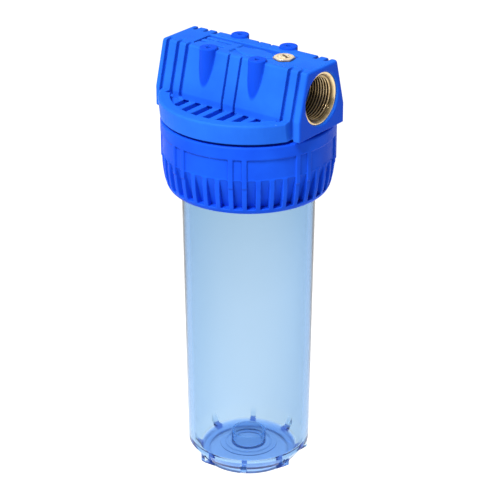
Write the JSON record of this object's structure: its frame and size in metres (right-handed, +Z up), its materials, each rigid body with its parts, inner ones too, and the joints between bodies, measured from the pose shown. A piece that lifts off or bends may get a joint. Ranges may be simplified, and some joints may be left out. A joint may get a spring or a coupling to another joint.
{
  "type": "cartridge filter housing",
  "caption": "In-line water filter housing: blue head with brass threaded ports and a bleed vent, fluted ring nut, clear bowl for a ten-inch cartridge.",
  "frame": {"origin": "middle of the underside of the bowl's foot ring, on the surface that it stands on", "axes": "+Z up along the bowl's axis, +X along the port axis from inlet to outlet, -Y towards the front face"},
  "size_m": [0.1296, 0.1306, 0.3327],
  "materials": {
    "blue_plastic": "satin",
    "blue_nut": "satin",
    "brass": "machined",
    "clear_bowl": "gloss",
    "seal_rubber": "matte"
  },
  "bodies": {
    "head": {"head": "blue_plastic", "inlet_insert": "brass", "outlet_insert": "brass", "inlet_insert_seal": "seal_rubber", "outlet_insert_seal": "seal_rubber", "vent_body": "brass", "vent_body_seal": "seal_rubber"},
    "bowl": {"bowl": "clear_bowl", "bowl_seal": "seal_rubber"},
    "ring_nut": {"ring_nut": "blue_nut"},
    "vent_screw_seal": {"vent_screw_seal": "seal_rubber"},
    "vent_screw": {"vent_screw": "brass"}
  },
  "joints": [
    {"name": "bowl_drop", "type": "slide", "parent": "head", "child": "bowl", "axis": [0, 0, -1], "range_m": [0, 0.024]},
    {"name": "ring_nut_turn", "type": "hinge", "parent": "bowl", "child": "ring_nut", "pos_m": [0, 0, 0.253], "axis": [0, 0, -1], "range_deg": [0, 1080]},
    {"name": "vent_screw_lift", "type": "slide", "parent": "head", "child": "vent_screw_seal", "axis": [0, 0, 1], "range_m": [0, 0.002]},
    {"name": "vent_screw_turn", "type": "hinge", "parent": "vent_screw_seal", "child": "vent_screw", "pos_m": [0.0334, -0.003, 0.3312], "axis": [0, 0, 1], "range_deg": [0, 720]}
  ],
  "couplings": [
    {"joint": "bowl_drop", "follows": "ring_nut_turn", "m_per_rad": 0.0012732},
    {"joint": "vent_screw_turn", "follows": "vent_screw_lift", "rad_per_m": 6283.2}
  ]
}
